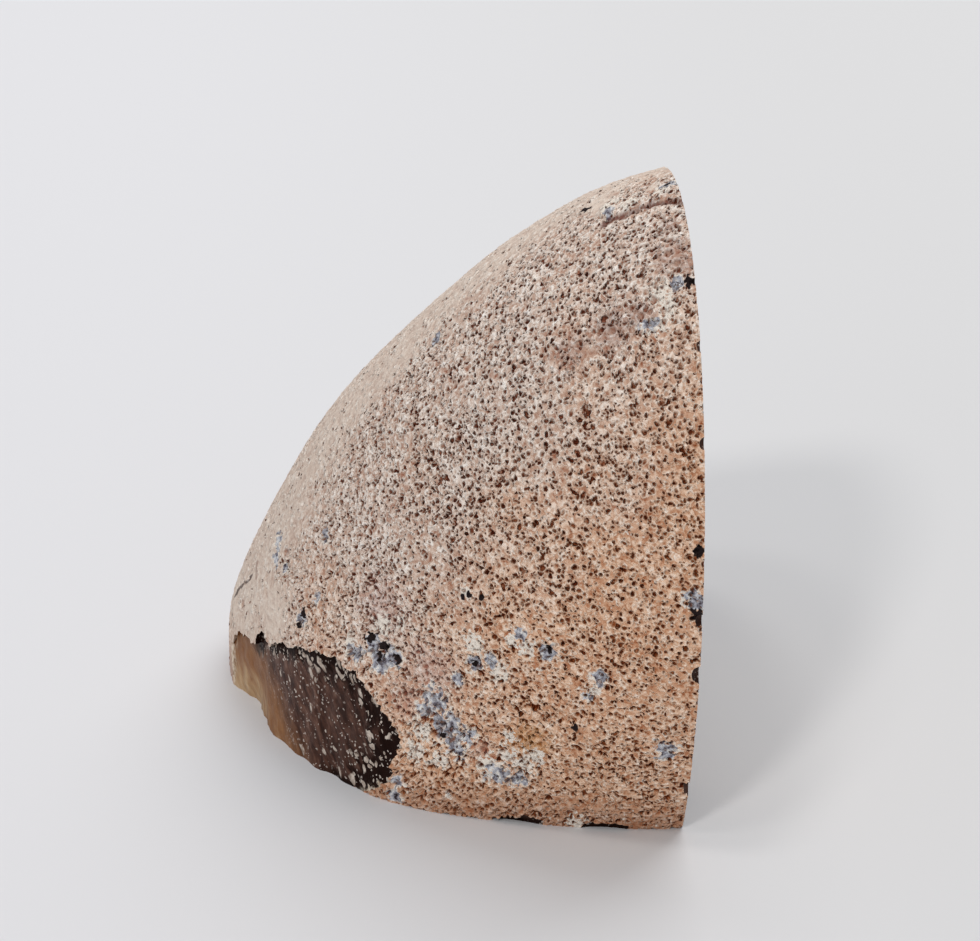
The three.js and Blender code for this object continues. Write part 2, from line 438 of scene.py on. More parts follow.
DARK_SPOTS = [
    (0.7, -27.2, 32.1, 0.5), (1.4, -27.7, 32.6, 0.5), (2.8, -28.8, 32.7, 0.5),
    (-10.4, -18, 22.3, 0.9), (-8.9, -19.9, 21.9, 0.9), (-9.3, -19.7, 20.6, 0.8),
    (-7.2, -21.7, 21, 0.8), (10.7, -34.6, 28.2, 0.6), (2, -29, 23.6, 0.6), (-1.8, -26.6, 12.5, 0.6),
    (13.9, -34.9, 17.3, 0.6), (17.8, -5.2, 74.3, 0.8), (27.2, -11.4, 79.5, 0.5),
    (27.7, -29.2, 73.4, 0.9), (27.5, -42.5, 44.3, 0.9), (27.6, -42.4, 36, 0.9),
    (-18.5, -6.5, 20.3, 0.7), (-19.2, -6.1, 18.3, 0.5),
]
OCHRE_STAINS = [(8.6, -32, 14.3, 4.0)]
PINK_STAINS = [
    (-3.3, -25.2, 21, 6.0), (-5.8, -23.7, 16, 5.0), (2.7, -28.8, 11.4, 3.0), (-9, -18.5, 27, 6.0),
]
RED_STAINS = [
    (25.8, -25, 75.1, 4.0), (27.3, -27, 74.8, 3.5), (18.7, -27.4, 66.8, 4.5),
    (21.8, -28.5, 69, 3.5), (26.3, -20.6, 77.5, 2.0), (-20.3, 1.3, 25.4, 0.9),
    (-26.2, 11.7, 12.9, 1.0), (14, -25.5, 63.5, 4.0),
]
# The small ledge under the top, then lines as x, y and z of their corners.
LEDGE = [(20.6, -9.4, 76, 2.4), (23.4, -11.2, 77.4, 2.4), (26.3, -13.1, 78.8, 2.4)]
CREASE = [(19.6, -12.1, 75), (21.9, -13.2, 76.4), (25.1, -14.8, 78.1), (28.4, -17.4, 79.4)]
CRACK = [
    (-24.7, 10.9, 17.8), (-25.5, 12.7, 15.9), (-26.5, 15.4, 13.8), (-27.1, 16.6, 12.2),
    (-27.5, 17.8, 10.7), (-27.7, 16.7, 9.4), (-27.5, 14.8, 8.6), (-27.4, 13.8, 7.4),
]
GROOVE = [(-24.1, 10.8, 19.5), (-24.3, 9.2, 18.1)]
MARKS = {
    "smooth": SMOOTH_PATCHES,
    "dense": DENSE_PATCHES,
    "blue": BLUE_SCARS,
    "white": WHITE_SCARS,
    "ochre": OCHRE_STAINS,
    "pink": PINK_STAINS,
    "red": RED_STAINS,
    "ledge": LEDGE,
}
LINES = {"crease": CREASE, "crack": CRACK, "groove": GROOVE}


def near_marks(points, marks):
    """1 in the middle of the nearest round mark, 0 at its rim, less outside, down to -1."""
    best = np.full(len(points), -1.0)
    for *place, radius in marks:
        distance = np.linalg.norm(points - np.array(place), axis=1)
        best = np.maximum(best, 1.0 - distance / radius)
    return best


def near_small(g, position, marks):
    """As near_marks, for marks that are too small to be stored on the mesh."""
    best = -1.0
    for *place, radius in marks:
        distance = g.vector("DISTANCE", position, tuple(place))
        best = g.larger(distance * (-1.0 / radius) + 1.0, best)
    return best


def from_line(points, corners):
    """Distances from a broken line, in as many dimensions as its corners have."""
    nearest = np.full(len(points), 1000.0)
    for start, end in zip(corners, corners[1:]):
        start = np.array(start, float)
        side = np.array(end, float) - start
        along = np.clip((points - start) @ side / (side @ side), 0.0, 1.0)
        foot = start + along[:, None] * side
        nearest = np.minimum(nearest, np.linalg.norm(points - foot, axis=1))
    return nearest


def store_marks(mesh):
    """Stores on the mesh how near its points are to the rind's local marks."""
    points = mesh_points(mesh)
    for name, marks in MARKS.items():
        store(mesh, name, near_marks(points, marks))
    for name, corners in LINES.items():
        store(mesh, name, from_line(points, corners))


def pit_layer(g, coords, pits, extra=0.0):
    """Pits of many depths: up to 1 in the middle of a pit, 0 at its rim, -1 away from it."""
    spacing, share, smallest, largest = pits
    distance, colour = g.cells(coords, spacing)
    pick, size, depth = g.split(colour)
    radius = size * (largest - smallest) + smallest
    inside = (1.0 - distance / radius) * (1.1 * depth + 0.4)
    taken = g.math("LESS_THAN", pick, extra + share)
    return g.larger(inside + 1.0, 0.0) * taken - 1.0


def warp(g, coords, scale, reach):
    """Coordinates shifted by smooth noise."""
    drift = g.vector("SUBTRACT", g.noise(coords, scale, colour=True), (0.5, 0.5, 0.5))
    return g.vector("ADD", coords, g.vector("SCALE", drift, scale=reach))


def ragged(near, noise, swing):
    """Above 0 inside marks whose rims are made ragged by a noise that goes from 0 to 1."""
    return near + (noise * swing - 0.5 * swing)


def bare_zone(g, position):
    """Where the rind is smooth: the side away from the broken corner, and a few patches."""
    coords = in_millimetres(g, position)
    _, y, z = g.split(coords)
    behind = BARE_LEAN * z + (BARE_SWING * g.noise(coords, 0.09, detail=3.0) + y) - BARE_START
    rise, fall = g.step(behind, 0.0, 8.0, 0.0, 0.8), g.step(behind, 14.0, 26.0, 0.8, 0.3)
    uneven = g.noise(coords, 0.45, detail=3.0)
    patch = g.step(ragged(g.stored("smooth"), uneven, 1.6), -0.3, 0.6)
    return g.larger(g.math("MINIMUM", rise, fall), patch)


def blue_zone(g, coords):
    """The bluish scars, with a ragged rim: above 0 inside."""
    return ragged(g.stored("blue"), g.noise(coords, 0.9, detail=2.0, roughness=0.6), 3.4)


def wavy_line(g, name, coords, swing):
    """Distance from a stored line, made wavy by a noise."""
    wander = g.noise(coords, 0.55, detail=2.0)
    return g.math("ABSOLUTE", ragged(g.stored(name), wander, swing))


def rind_fields(g, position, coords):
    """The rind's fine relief: pits (1 deep inside, 0 at the rim, -1 far off) and the grain."""
    warped = warp(g, coords, 1.3, 0.7)
    density = g.noise(coords, 0.16, detail=2.0) - 0.5
    density = density - 0.7 * bare_zone(g, position)
    density = 0.35 * g.step(g.stored("dense"), 0.0, 0.6) + density
    wide = pit_layer(g, warped, WIDE_PITS, density)
    plain = pit_layer(g, warped, PLAIN_PITS, density)
    tiny = pit_layer(g, warped, TINY_PITS, density)
    worms = g.noise(warp(g, coords, 1.5, 0.6), 1.15)
    worms = 2.9 - 9.0 * (worms - 0.08 * density)
    pits = g.larger(g.larger(wide, plain), g.larger(tiny, worms))
    pits = g.larger(pits, near_small(g, position, np.array(WIDE_HOLES) * MM))
    grain = g.noise(coords, 1.7, detail=3.0, roughness=0.6)
    lumps = g.noise(warped, 0.7, detail=2.0, roughness=0.6)
    grain = 0.6 * (lumps - 0.5) + grain
    return g.larger(g.math("MINIMUM", pits, 1.0), -1.0), grain


def relief(g, pits, grain):
    """Height of the pits, their raised rims and the grain."""
    rim = g.step(pits, -0.8, -0.25)
    hole = g.step(pits, -0.3, 1.0)
    return GRAIN_HEIGHT * (grain - 0.5) + PIT_RIM * rim - PIT_DEPTH * hole


def rind_height(g, position):
    """Height of the rind's relief, in metres."""
    coords = nodule_coords(g, position)
    height = relief(g, *rind_fields(g, position, coords))
    height = height - SCAR_DEPTH * g.step(blue_zone(g, coords), -0.1, 0.3)
    crease = g.step(wavy_line(g, "crease", coords, 2.4), 0.7, 0.1)
    ledge = g.step(g.stored("ledge"), 0.0, 0.5)
    height = LEDGE_HEIGHT * ledge + (height - CREASE_DEPTH * crease)
    return height * MM


def apply_modifiers(target):
    """Swaps an object's mesh for the one that its modifiers make."""
    bpy.context.view_layer.update()
    depsgraph = bpy.context.evaluated_depsgraph_get()
    made = bpy.data.meshes.new_from_object(target.evaluated_get(depsgraph))
    old = target.data
    target.modifiers.clear()
    target.data = made
    bpy.data.meshes.remove(old)


def displace(target, build_height):
    """Moves a mesh's points along their stored direction by a height from a node graph."""
    tree = bpy.data.node_groups.new("shape " + target.name, "GeometryNodeTree")
    for way in ("INPUT", "OUTPUT"):
        tree.interface.new_socket("Geometry", in_out=way, socket_type="NodeSocketGeometry")
    g = Graph(tree)
    position = g.add("GeometryNodeInputPosition").outputs[0]
    direction = g.stored("outward", "FLOAT_VECTOR")
    move = g.add("GeometryNodeSetPosition")
    g.feed(move.inputs["Geometry"], g.add("NodeGroupInput").outputs[0])
    g.feed(move.inputs["Offset"], g.vector("SCALE", direction, scale=build_height(g, position)))
    g.feed(g.add("NodeGroupOutput").inputs[0], move.outputs[0])
    modifier = target.modifiers.new("shape", "NODES")
    modifier.node_group = tree
    apply_modifiers(target)
    bpy.data.node_groups.remove(tree)


def cut(target, tool, operation):
    modifier = target.modifiers.new("cut", "BOOLEAN")
    modifier.solver = "MANIFOLD"
    modifier.operation = operation
    modifier.material_mode = "TRANSFER"
    modifier.object = tool
    apply_modifiers(target)
    bpy.data.objects.remove(tool)


def make_nodule():
    directions, faces = nodule_mesh()
    points, normals = nodule_surface(directions)
    nodule = make_object("agate_stone", points, faces)
    store(nodule.data, "outward", normals)
    store_marks(nodule.data)
    displace(nodule, rind_height)
    return nodule


def make_stock():
    """The block that the saw cuts leave: up to the cut face, and above the base."""
    low = (CUT_FACE_X - 2.0 * STOCK_REACH, -STOCK_REACH, 0.0)
    high = (CUT_FACE_X, STOCK_REACH, 2.0 * STOCK_REACH)
    corners = list(itertools.product(*zip(low, high)))
    faces = [(0, 1, 3, 2), (4, 6, 7, 5), (0, 4, 5, 1), (2, 3, 7, 6), (0, 2, 6, 4), (1, 5, 7, 3)]
    return make_object("stock", corners, faces)


# ---- The broken corner and the nicks ----
SCALLOP_HEIGHT = 1.1
STEP_HEIGHT = 0.35
# How far the two shapes reach that cut the flake out together.
SLAB_ACROSS = (-42.0, 16.0)
SLAB_UP = (-4.0, 22.0)
SLAB_FRONT = 30.0
PRISM_DEPTH = (-20.0, 25.0)
OUTLINE_PIECE = 0.7  # length of the pieces that the outline's sides are cut into


def flake_axes():
    """The directions across, up and outwards of the broken corner."""
    outwards = np.array([math.cos(FLAKE_HEADING), math.sin(FLAKE_HEADING), 0.0])
    up = np.array([0.0, 0.0, 1.0])
    return np.stack([np.cross(up, outwards), up, outwards])


def flake_place(local):
    """Points given across, up and outwards on the broken corner, in the stone's frame."""
    return FLAKE_CENTRE + local @ flake_axes()


def on_flake(points):
    """Points of the stone's frame, as across, up and outwards on the broken corner."""
    return (points - FLAKE_CENTRE) @ flake_axes().T


def from_outline(points):
    """How far points lie from the break's outline, seen along the way the break looks."""
    return from_line(on_flake(points)[:, :2], FLAKE_OUTLINE)


def break_height(g, position):
    """Unevenness of the broken face, in metres: shallow scallops and fine steps."""
    coords = in_millimetres(g, position)
    scallops = g.noise(warp(g, coords, 0.2, 2.0), 0.3)
    steps = g.noise(coords, 0.9, detail=2.0, roughness=0.6)
    return (STEP_HEIGHT * (steps - 0.5) + (SCALLOP_HEIGHT * scallops - 0.5 * SCALLOP_HEIGHT)) * MM


def flake_face(across, up):
    """How far the broken face stands outwards, as in the solid."""
    bent = np.minimum(0.0, np.maximum(across, FLAKE_BEND_END) - FLAKE_BEND_START)
    straight = np.maximum(0.0, FLAKE_BEND_END - across)
    dip = np.maximum(0.0, across - FLAKE_RIGHT_START)
    curve = FLAKE_BEND * bent**2 + FLAKE_BEND_SLOPE * straight + FLAKE_RIGHT_BEND * dip**2
    in_bite = (across - BITE_ACROSS) / BITE_HALF_WIDTH
    above = np.maximum(0.0, up)
    fade = np.maximum(0.0, 1.0 - above / BITE_TOP)
    bite = BITE_DEPTH * np.maximum(0.0, 1.0 - in_bite**2) * fade
    wave = np.cos(2.0 * math.pi * across / RIPPLE_PITCH) * np.exp(-above / RIPPLE_FADE)
    return FLAKE_CREST - FLAKE_LEAN * up - curve - bite + RIPPLE_HEIGHT * wave


def make_flake_slab():
    """Everything in front of the broken face, as a closed slab."""
    across = np.arange(*SLAB_ACROSS, FLAKE_EDGE)
    up = np.arange(*SLAB_UP, FLAKE_EDGE)
    a, b = np.meshgrid(across, up, indexing="ij")
    near = np.stack([a, b, flake_face(a, b)], axis=2).reshape(-1, 3)
    far = near.copy()
    far[:, 2] = SLAB_FRONT
    index = np.arange(a.size).reshape(a.shape)
    quads = np.stack([index[:-1, :-1], index[:-1, 1:], index[1:, 1:], index[1:, :-1]], axis=2)
    faces = quads.reshape(-1, 4).tolist()
    faces += (quads.reshape(-1, 4)[:, ::-1] + a.size).tolist()
    border = np.concatenate([index[:, 0], index[-1, 1:], index[-2::-1, -1], index[0, -2::-1]])
    for start, end in zip(border.tolist(), border[1:].tolist()):
        faces.append([start, end, end + a.size, start + a.size])
    slab = make_object("flake", flake_place(np.concatenate([near, far])), faces)
    move = np.zeros((2 * a.size, 3))
    move[:a.size] = flake_axes()[2]
    store(slab.data, "outward", move)
    displace(slab, break_height)
    return slab


def ragged_outline():
    """The break's outline with its sides cut into short pieces and its points shifted a little."""
    draw = np.random.default_rng(5)
    points = []
    for start, end in zip(FLAKE_OUTLINE, FLAKE_OUTLINE[1:] + FLAKE_OUTLINE[:1]):
        start = np.array(start, float)
        side = np.array(end, float) - start
        count = max(1, round(np.linalg.norm(side) / OUTLINE_PIECE))
        for i in range(count):
            points.append(start + side * i / count + draw.uniform(-CHIP_JITTER, CHIP_JITTER, 2))
    return np.array(points)


def make_flake_prism():
    """What lies inside the break's outline, seen along the way the break looks."""
    outline = ragged_outline()
    count = len(outline)
    low, high = (np.column_stack([outline, np.full(count, depth)]) for depth in PRISM_DEPTH)
    faces = [list(range(count))[::-1], list(range(count, 2 * count))]
    for k in range(count):
        n = (k + 1) % count
        faces.append([k, n, n + count, k + count])
    return make_object("flake_outline", flake_place(np.concatenate([low, high])), faces)


def near_side_y(x, z):
    """The y of the plain nodule's near side at a given x and z."""
    start = ((np.array([x, 0.0, z]) - CENTRE) @ TURN) / RADII
    step = (np.array([0.0, -1.0, 0.0]) @ TURN) / RADII
    a, b, c = step @ step, start @ step, start @ start - 1.0
    return -(math.sqrt(b * b - a * c) - b) / a


def make_nick(size, turn, place):
    """A small rounded cutter."""
    shaping = bmesh.new()
    bmesh.ops.create_icosphere(shaping, subdivisions=3, radius=0.5)
    shape = Matrix.Translation(Vector(place) * MM) @ Matrix.Rotation(turn, 4, "Z")
    shaping.transform(shape @ Matrix.Diagonal((*(np.array(size) * MM), 1.0)))
    mesh = bpy.data.meshes.new("nick")
    shaping.to_mesh(mesh)
    shaping.free()
    return add_object("nick", mesh)


def make_nicks():
    """Cutters for the nicks along the near edges of the base and of the cut face."""
    nicks = []
    for x, length, height, depth in BASE_NICKS:
        left, right = (np.array([at, near_side_y(at, 0.0), 0.0])
                       for at in (x - length / 2, x + length / 2))
        middle = (left + right) / 2
        middle[1] -= swell_at(middle[None])[0] + BASE_NICK_SHIFT
        turn = math.atan2(right[1] - left[1], right[0] - left[0])
        nicks.append(make_nick((length, 2 * depth, 2 * height), turn, middle))
    for z, length, depth in UPRIGHT_NICKS:
        place = (CUT_FACE_X, near_side_y(CUT_FACE_X, z), z)
        nicks.append(make_nick((2 * depth, 2 * depth, length), 0.0, place))
    return nicks


# ---- Materials ----


def new_material(name):
    """A material, its node graph and the position in it, in metres."""
    material = bpy.data.materials.new(name)
    material.use_nodes = True
    g = Graph(material.node_tree)
    return material, g, g.add("ShaderNodeTexCoord").outputs["Object"]


def set_surface(g, colour, roughness, specular=0.5, height=None):
    """Feeds a material's shader. The height is its finest relief, in millimetres."""
    shader = g.tree.nodes["Principled BSDF"]
    g.feed(shader.inputs["Base Color"], colour)
    g.feed(shader.inputs["Roughness"], roughness)
    g.feed(shader.inputs["Specular IOR Level"], specular)
    if height is not None:
        bump = g.add("ShaderNodeBump")
        g.feed(bump.inputs["Distance"], MM)
        g.feed(bump.inputs["Height"], height)
        g.feed(shader.inputs["Normal"], bump.outputs[0])


# Colours by tone, from dark to light.
COOL_RIND = [
    (0.0, (94, 40, 24)), (0.2, (148, 92, 70)), (0.42, (198, 171, 154)), (0.62, (230, 214, 202)),
    (0.88, (255, 250, 244)),
]
WARM_RIND = [
    (0.0, (96, 36, 8)), (0.2, (156, 85, 45)), (0.42, (204, 155, 122)), (0.62, (232, 196, 168)),
    (0.88, (255, 240, 226)),
]
BLUE_SCAR = [
    (0.0, (52, 42, 46)), (0.2, (108, 101, 109)), (0.42, (154, 154, 163)), (0.7, (196, 197, 203)),
    (1.0, (236, 232, 226)),
]
# How much the grain, the rims and the pits lighten or darken the rind. The light rims around the
# pits are a painted highlight. The pits darken it with their brown stain and with painted shade,
# more of it lower down.
GRAIN_TONE = 0.85
RIM_HIGHLIGHT_TONE = 0.23
HIGH_PIT_STAIN_AND_SHADE = -0.57
LOW_PIT_STAIN_AND_SHADE = -0.63
PALE_RIND = srgb(230, 218, 205)
WHITE_SCAR = srgb(236, 226, 214)
FOOT = srgb(146, 84, 52)  # the tone that the rind takes on towards the base
FOOT_TOP = 9.0
WARM_LEAN = 0.75  # lean of the border between the two grounds
WARM_SWING = 30.0  # how far a noise moves it
DARK_SPOT = srgb(36, 26, 26)
STAINS = [  # stored mark, swing of its rim, softness, strength, colour
    ("ochre", 1.5, 1.0, 0.5, srgb(196, 138, 70)),
    ("red", 2.0, 0.8, 0.4, srgb(128, 72, 58)),
    ("pink", 1.5, 1.0, 0.35, srgb(176, 128, 122)),
]
PAINTED_LINES = [  # stored line, swing, half width outside and inside its soft rim, strength
    ("crease", 2.4, 0.9, 0.2, 0.85, srgb(104, 48, 34)),
    ("groove", 0.8, 0.5, 0.2, 0.6, srgb(150, 118, 106)),
    ("crack", 1.0, 0.3, 0.1, 0.8, srgb(70, 56, 54)),
]


def paint(g, ground, share, tone, most=1.0):
    """A ground with a tone over a share of it."""
    return g.mix(share * most, ground, tone)


def scarred(g, ground, coords, mottle, hole):
    """White and bluish scars over the rind, around its pits."""
    fine = g.noise(coords, 1.6, detail=2.0, roughness=0.6)
    bare = 1.0 - hole
    white = g.step(ragged(g.stored("white"), fine, 4.4), -0.1, 0.3)
    blue = blue_zone(g, coords)
    rim = g.step(blue, -0.5, -0.2) * g.step(fine, 0.42, 0.55)
    ground = g.mix(g.larger(white, rim) * bare, ground, WHITE_SCAR)
    scar = g.step(blue, -0.05, 0.1) * (0.75 * bare + 0.25)
    return g.mix(scar, ground, g.ramp(2.4 * mottle - 0.7, BLUE_SCAR))


def rind_material():
    """A pitted, sandy rind with stains and scars, greyish to the upper left and ochre to the
    lower right."""
    material, g, position = new_material("agate rind")
    coords = nodule_coords(g, position)
    x, _, z = g.split(in_millimetres(g, position))
    pits, grain = rind_fields(g, position, coords)
    hole = g.step(pits, -0.2, 0.7)
    mottle = g.noise(coords, 1.5, detail=2.0)

    # The pits are darkened by their brown stain and by painted shade, which grows towards the lower
    # part of the stone.
    pit_stain_and_shade = g.step(z, 45.0, 20.0, HIGH_PIT_STAIN_AND_SHADE, LOW_PIT_STAIN_AND_SHADE)
    # Painted highlight: the rims around the pits are lightened in the colour.
    tone = RIM_HIGHLIGHT_TONE * g.step(pits, -0.8, -0.2) + GRAIN_TONE * grain
    tone = hole * pit_stain_and_shade + tone
    drift = g.noise(coords, 0.06, detail=2.0)
    warmth = g.step(ragged(x - WARM_LEAN * z, drift, WARM_SWING), -40.0, -8.0)
    ground = g.mix(warmth, g.ramp(tone, COOL_RIND), g.ramp(tone, WARM_RIND))
    ground = paint(g, ground, bare_zone(g, position) * (1.0 - hole), PALE_RIND, 0.6)
    ground = paint(g, ground, g.step(z, FOOT_TOP, 0.0), FOOT, 0.4)
    for name, swing, soft, most, colour in STAINS:
        share = g.step(ragged(g.stored(name), mottle, swing), 0.0, soft)
        ground = paint(g, ground, share, colour, most)
    ground = scarred(g, ground, coords, mottle, hole)
    for name, swing, outer, inner, most, colour in PAINTED_LINES:
        share = g.step(wavy_line(g, name, coords, swing), outer, inner)
        ground = paint(g, ground, share, colour, most)
    spots = ragged(near_small(g, position, np.array(DARK_SPOTS) * MM), g.noise(coords, 1.6), 2.4)
    ground = paint(g, ground, g.step(spots, 0.0, 0.3), DARK_SPOT)
    set_surface(g, ground, 0.85, 0.12, relief(g, pits, grain))
    return material


def depth_below_rind(g, position):
    """How deep a point lies under the smooth rind, in millimetres."""
    unit = nodule_place(g, position)
    level = g.vector("LENGTH", unit)
    slope = g.vector("LENGTH", g.vector("DIVIDE", unit, tuple(RADII)))
    depth = (1.0 - level) * level / slope
    for *at, spread, rise in SWELLS:
        reach = g.vector("DISTANCE", position, tuple(np.array(at) * MM)) / (spread * MM)
        depth = g.math("EXPONENT", -0.5 * (reach * reach)) * rise + depth
    return depth


def specks(g, coords, *pits):
    """Small round grains, given as pits: 1 inside, 0 outside."""
    return g.step(pit_layer(g, coords, pits), 0.0, 0.12)


CRUST = [(0.0, (150, 122, 100)), (0.5, (206, 188, 168)), (1.0, (236, 226, 212))]
FRINGE = [(0.0, (26, 12, 8)), (0.5, (48, 30, 24)), (1.0, (80, 58, 50))]
DARKEST_FRINGE = srgb(10, 3, 2)
LIGHTEST_FRINGE = srgb(44, 26, 20)
CHALCEDONY = [
    (0.0, (44, 22, 14)), (0.35, (73, 46, 36)), (0.6, (96, 67, 55)), (1.0, (132, 104, 92)),
]
AMBER = [
    (0.0, (108, 64, 32)), (0.4, (142, 100, 66)), (0.7, (178, 148, 114)), (1.0, (204, 182, 154)),
]
BLOB = [(0.0, (140, 120, 106)), (1.0, (226, 214, 202))]
FLECK = srgb(206, 194, 184)
PALE_TEETH = [  # across, up, half the width
    (-17.2, 11.4, 0.4), (-15.2, 9.3, 0.3), (-12.7, 9.6, 0.3), (-8.4, 14.1, 0.5), (-7.9, 12.6, 0.4),
    (-5.5, 14.6, 0.5), (-6.7, 12.0, 0.25), (-7.8, 7.9, 0.35), (-2.5, 16.0, 0.4), (-2.2, 14.4, 0.3),
    (0.1, 14.6, 0.35), (1.9, 13.3, 0.4), (2.1, 12.1, 0.3), (1.4, 1.1, 0.45), (-1.1, 0.9, 0.35),
    (-9.1, 1.0, 0.4), (-2.4, 3.9, 0.3), (-4.6, 2.8, 0.3), (3.3, 3.3, 0.35), (4.7, 1.0, 0.35),
]
TOOTH_SQUEEZE = 0.45


def fibre_turned(across, up):
    """Places on the break, turned to lie over and along its fibres, which run down to the right."""
    return 0.8 * across + 0.6 * up, 0.6 * across - 0.8 * up


def along_fibres(g, across, up, squeeze):
    """Coordinates on the break, squeezed along its fibres."""
    over, along = fibre_turned(across, up)
    return g.combine(over, along * squeeze, 0.0)


def pale_teeth(g, across, up):
    """1 inside the single pale teeth of the break, 0 outside."""
    places = warp(g, along_fibres(g, across, up, TOOTH_SQUEEZE), 1.1, 0.7)
    teeth = []
    for tooth_across, tooth_up, half_width in PALE_TEETH:
        over, along = fibre_turned(tooth_across, tooth_up)
        teeth.append((over, along * TOOTH_SQUEEZE, 0.0, half_width))
    return g.step(near_small(g, places, teeth), 0.0, 0.3)


def broken_colour(g, across, up, uneven, streaks):
    """The dark waxy field, which turns amber to the left, with a painted glow low down at the far
    left, and how amber it is.
    """
    dusk = g.step(across, -10.0, 4.0, 0.0, -0.2)
    field = g.ramp(2.2 * streaks - 0.7 + dusk, CHALCEDONY)
    slant = 1.2 * up + across
    amber = g.step(5.0 * uneven + slant, -2.0, -11.0)
    # Painted glow: the amber is made lighter low down and far to the left, as if light came through
    # the thin edge.
    painted_glow = g.step(up, 7.0, 1.0) * g.step(across, -10.0, -30.0, 0.1)
    amber_tone = 0.9 * streaks + (0.45 * painted_glow - 0.2)
    return g.mix(amber, field, g.ramp(amber_tone, AMBER)), amber


def broken_material():
    """A near-black fringe with pale teeth and blobs along the rind, then a dark waxy field with
    white specks that turns amber to the left."""
    material, g, position = new_material("broken chalcedony")
    coords = in_millimetres(g, position)
    from_middle = g.vector("SUBTRACT", coords, tuple(FLAKE_CENTRE))
    across = g.vector("DOT_PRODUCT", from_middle, tuple(flake_axes()[0]))
    _, _, up = g.split(coords)
    fibres = along_fibres(g, across, up, 0.4)
    uneven = g.noise(fibres, 0.9, detail=3.0, roughness=0.65)
    streaks = g.noise(warp(g, fibres, 0.3, 1.5), 0.8, detail=4.0, roughness=0.6)
    mottle = 2.0 * g.noise(coords, 1.6, detail=2.0) - 0.5
    colour, amber = broken_colour(g, across, up, uneven, streaks)

    width = g.step(across, -16.0, 6.0, 1.8, 5.0)
    inwards = 2.4 * (uneven - 0.5) + g.stored("from_outline") / width
    fringe = g.step(inwards, 1.3, 0.6) * g.step(across, -27.0, -22.0)
    base = g.step(up, 1.4, 0.3) * g.step(across, -6.0, -2.0)
    fringe = g.larger(fringe, base)
    colour = g.mix(fringe, colour, g.mix(uneven, DARKEST_FRINGE, LIGHTEST_FRINGE))

    blob_places = warp(g, along_fibres(g, across, up, 0.75), 1.0, 1.2)
    blobs = specks(g, blob_places, 1.0, 0.8, 0.22, 0.48)
    blobs = blobs * g.step(inwards, 1.3, 0.75) * g.step(across, -24.0, -18.0)
    blobs = g.larger(blobs, pale_teeth(g, across, up))
    colour = g.mix(0.9 * blobs, colour, g.ramp(mottle, BLOB))

    crowd = g.step(g.noise(coords, 0.22), 0.36, 0.6, 0.25)
    flecks = specks(g, warp(g, coords, 1.5, 0.8), 0.46, 0.4, 0.1, 0.2)
    flecks = flecks * crowd * (1.0 - amber)
    colour = g.mix(0.8 * flecks, colour, FLECK)

    depth = 1.8 * uneven + (depth_below_rind(g, position) - 0.9)
    by_the_rind = g.larger(g.step(across, 2.0, 5.0), g.step(across, -30.0, -32.0))
    by_the_rind = by_the_rind * g.step(across, 14.0, 12.0)
    crust = g.step(depth, 0.42, 0.22) * by_the_rind
    colour = g.mix(crust, colour, g.ramp(mottle, CRUST))
    height = 0.25 * crust + (0.25 * streaks + 0.12 * blobs)
    set_surface(g, colour, 0.4 * crust + 0.45, 0.14 - 0.11 * fringe, height)
    return material


BANDS = [  # colours from the dark fringe inwards, repeated by the band pattern
    (0.0, (70, 48, 38)), (0.22, (112, 84, 68)), (0.4, (158, 128, 104)), (0.52, (206, 190, 172)),
    (0.6, (142, 108, 84)), (0.78, (178, 142, 110)), (1.0, (224, 212, 198)),
]
BAND_DEPTH = 30.0  # the deepest that bands reach
CORE = srgb(196, 186, 176)
GRAINS = srgb(196, 182, 166)
SAW_DUST = srgb(198, 188, 178)
SAW_MIDDLE = (-20.0, -150.0, 0.0)


def banded_colour(g, position, coords):
    """Agate banding that follows the rind inwards, for the sawn faces."""
    depth = depth_below_rind(g, position)
    drift = g.noise(coords, 0.07, detail=3.0)
    wobble = g.noise(coords, 0.6, detail=2.0)
    wavy = 0.5 * wobble + (9.0 * drift + (depth - 4.5))
    wide = g.noise(g.combine(wavy, 3.0, 5.0), 0.16, detail=2.0, roughness=0.6)
    fine = g.noise(g.combine(wavy, 8.0, 1.0), 1.1, detail=3.0, roughness=0.7)
    cloud = g.noise(coords, 0.35, detail=4.0, roughness=0.6)
    tone = 0.7 * (fine - 0.5) + (1.9 * wide - 0.5)
    tone = 0.3 * (cloud - 0.5) + tone
    core = g.step(depth, 15.0, BAND_DEPTH)
    colour = g.mix(0.55 * core, g.ramp(tone, BANDS), CORE)
    uneven = g.noise(coords, 1.0, detail=3.0, roughness=0.65)
    fringe_depth = 1.4 * uneven + (depth - 0.7)
    fringe_tone = 1.6 * cloud - 0.3
    colour = g.mix(g.step(fringe_depth, 3.2, 0.9), colour, g.ramp(fringe_tone, FRINGE))
    grains = specks(g, coords, 0.8, 0.4, 0.2, 0.42) * g.step(fringe_depth, 2.0, 0.9)
    colour = g.mix(grains, colour, GRAINS)
    crust = g.step(fringe_depth, 0.75, 0.5)
    return g.mix(crust, colour, g.ramp(fringe_tone, CRUST)), crust, tone


def polished_material():
    """The upright cut face: polished, with the bands showing."""
    material, g, position = new_material("polished agate")
    coords = in_millimetres(g, position)
    colour, crust, tone = banded_colour(g, position, coords)
    gloss = 0.08 * g.noise(coords, 0.25, detail=3.0) + 0.12
    set_surface(g, colour, 0.5 * crust + gloss, height=0.01 * tone - 0.12 * crust)
    return material


